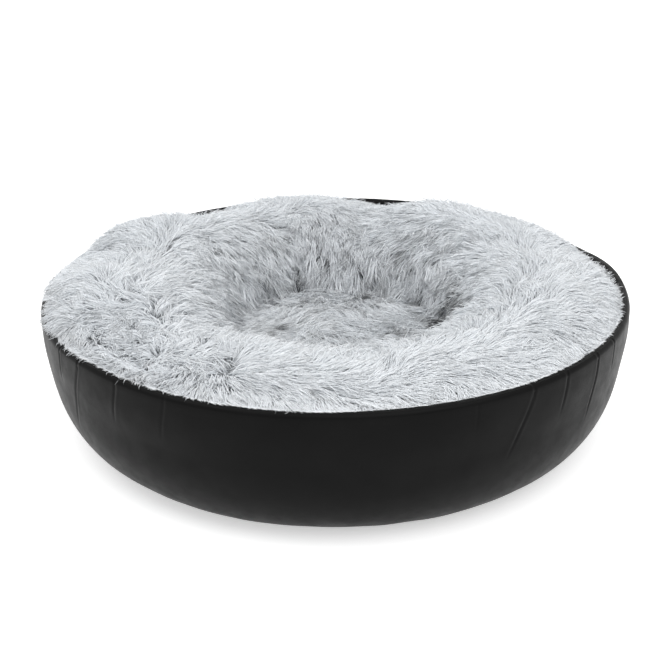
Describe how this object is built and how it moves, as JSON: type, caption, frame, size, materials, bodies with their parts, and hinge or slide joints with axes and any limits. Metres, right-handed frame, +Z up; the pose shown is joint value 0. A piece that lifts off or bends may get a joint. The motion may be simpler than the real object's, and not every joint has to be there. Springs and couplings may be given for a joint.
{
  "type": "round dog bed",
  "caption": "Round bolster pet bed: a leatherette bowl with a padded rim and a fur ring cushion that lifts out.",
  "frame": {"origin": "on the floor, at the middle of the bed's round base", "axes": "+Z up, -Y towards the front of the bed as pictured, +X to the right seen from the front; the zip is low on the back, at +Y"},
  "size_m": [0.7, 0.7, 0.205],
  "materials": {
    "leatherette": "smooth black leatherette, soft satin",
    "binding": "black leatherette strip, satin",
    "lining": "black woven lining, matte",
    "non_slip": "black cloth with fine rubber dots",
    "board": "grey fibre board",
    "foam": "off-white open foam",
    "fibre": "white polyester fibre",
    "fur": "long soft pale grey fur",
    "cloth": "grey woven cloth",
    "tape": "black woven zip tape",
    "coil": "black nylon coil",
    "metal": "dark nickel"
  },
  "bodies": {
    "shell": {"outer_cover": "leatherette", "rim_binding": "binding", "rim_core": "foam", "wall_foam": "foam", "base_panel": "non_slip", "base_board": "board", "base_foam": "foam", "inner_lining": "lining", "zip_tape_upper": "tape", "zip_tape_lower": "tape", "zip_coil": "coil", "zip_stop_closed": "metal", "zip_stop_open": "metal"},
    "zip_slider": {"zip_slider": "metal"},
    "zip_pull": {"zip_pull_ring": "metal", "zip_puller": "metal"},
    "cushion": {"bolster_cover": "fur", "bolster_fill": "fibre", "centre_cover": "fur", "centre_fill": "fibre", "cushion_base": "cloth"}
  },
  "joints": [
    {"name": "cushion_lift", "type": "slide", "parent": "shell", "child": "cushion", "axis": [0, 0, 1], "range_m": [0, 0.25]},
    {"name": "zip_slide", "type": "hinge", "parent": "shell", "child": "zip_slider", "pos_m": [0, 0, 0], "axis": [0, 0, -1], "range_deg": [0, 116]},
    {"name": "zip_puller_swing", "type": "hinge", "parent": "zip_slider", "child": "zip_pull", "pos_m": [-0.28347, 0.17688, 0.04222], "axis": [0.5294, 0.8484, 0], "range_deg": [-10, 125]}
  ]
}
